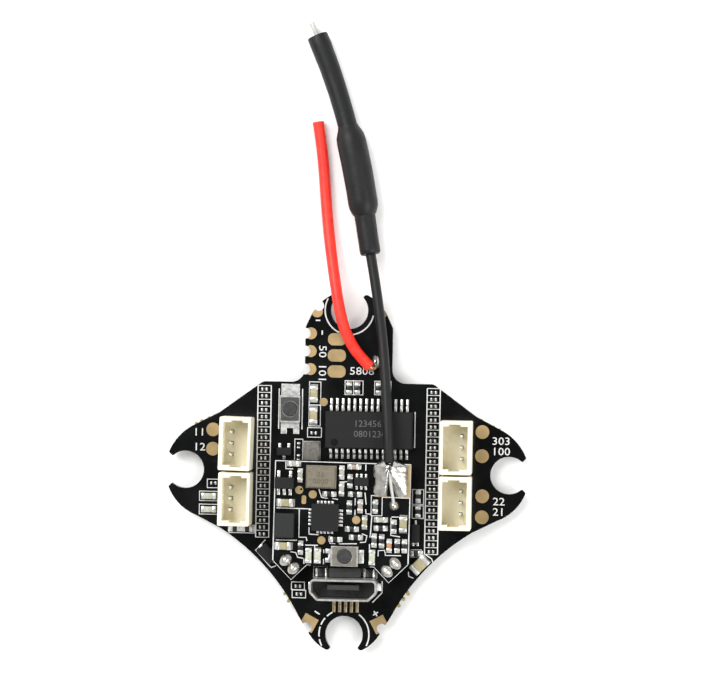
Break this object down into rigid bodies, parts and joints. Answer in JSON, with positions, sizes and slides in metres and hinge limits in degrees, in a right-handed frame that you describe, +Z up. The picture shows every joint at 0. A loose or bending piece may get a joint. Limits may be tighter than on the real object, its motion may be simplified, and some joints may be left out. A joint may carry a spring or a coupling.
{
  "type": "drone flight controller board",
  "caption": "Black flight controller board with grommet notches, upright motor sockets, a vertical USB socket and a stacked video transmitter with its whip antenna.",
  "frame": {"origin": "on the surface the board stands on, under the centre of its notches", "axes": "+Z up out of the component side, +Y towards the antenna, +X to the right seen from above"},
  "size_m": [0.0398, 0.07, 0.0071],
  "materials": {
    "solder_mask": "glossy black solder mask over glass epoxy",
    "gold": "satin gold plating",
    "tin": "bright tinned solder",
    "steel": "satin stamped steel",
    "ivory_plastic": "ivory connector plastic",
    "black_epoxy": "matte black moulding",
    "black_ceramic": "dark resistor film on ceramic",
    "tan_ceramic": "olive-tan ceramic",
    "white_resin": "white lamp resin",
    "ferrite": "dark grey ferrite",
    "can": "satin plated can",
    "red_silicone": "red silicone insulation",
    "black_jacket": "satin black cable jacket",
    "heat_shrink": "satin black heat-shrink",
    "brass_tube": "plain brass",
    "core_wire": "silvered copper",
    "copper": "bare copper strands"
  },
  "bodies": {
    "board": {"antenna_brass_sleeve": "brass_tube", "antenna_cable_core": "core_wire", "antenna_cable_jacket": "black_jacket", "antenna_sleeve_lower": "heat_shrink", "antenna_sleeve_middle": "heat_shrink", "antenna_sleeve_upper": "heat_shrink", "antenna_solder": "tin", "boot_switch_base": "black_epoxy", "boot_switch_cover": "steel", "boot_switch_dome": "steel", "boot_switch_terminals": "tin", "channel_leds": "white_resin", "channel_switch_base": "black_epoxy", "channel_switch_cover": "steel", "channel_switch_dome": "steel", "channel_switch_terminals": "tin", "crystal": "can", "display_chip": "black_epoxy", "flight_processor": "black_epoxy", "gyro_sensor": "black_epoxy", "link_headers": "black_epoxy", "link_pins": "brass_tube", "link_solder": "tin", "main_board": "solder_mask", "main_board_pads": "gold", "main_capacitors": "tan_ceramic", "main_chip_ends": "tin", "main_chip_leads": "tin", "main_resistors": "black_ceramic", "main_small_chips": "black_epoxy", "motor_connector_front_left": "ivory_plastic", "motor_connector_front_right": "ivory_plastic", "motor_connector_pins": "tin", "motor_connector_rear_left": "ivory_plastic", "motor_connector_rear_right": "ivory_plastic", "motor_drivers": "black_epoxy", "motor_mosfets": "black_epoxy", "oscillator": "can", "power_inductor": "ferrite", "receiver_wire_conductor": "copper", "receiver_wire_insulation": "red_silicone", "receiver_wire_solder": "tin", "rf_chip": "black_epoxy", "status_leds": "white_resin", "transmitter_board": "solder_mask", "transmitter_capacitors": "tan_ceramic", "transmitter_chip_ends": "tin", "transmitter_chip_leads": "tin", "transmitter_pads": "gold", "transmitter_regulators": "black_epoxy", "transmitter_resistors": "black_ceramic", "underside_capacitors": "tan_ceramic", "underside_chip_ends": "tin", "underside_chips": "black_epoxy", "underside_leads": "tin", "usb_contacts": "gold", "usb_insulator": "black_epoxy", "usb_shell": "steel"},
    "boot_button": {"boot_switch_plunger": "black_epoxy"},
    "channel_button": {"channel_switch_plunger": "black_epoxy"}
  },
  "joints": [
    {"name": "boot_button_press", "type": "slide", "parent": "board", "child": "boot_button", "axis": [0, 0, -1], "range_m": [0, 0.0002], "stiffness_N_per_m": 8000, "deforming": ["boot_switch_dome"]},
    {"name": "channel_button_press", "type": "slide", "parent": "board", "child": "channel_button", "axis": [0, 0, -1], "range_m": [0, 0.0002], "stiffness_N_per_m": 8000, "deforming": ["channel_switch_dome"]}
  ]
}
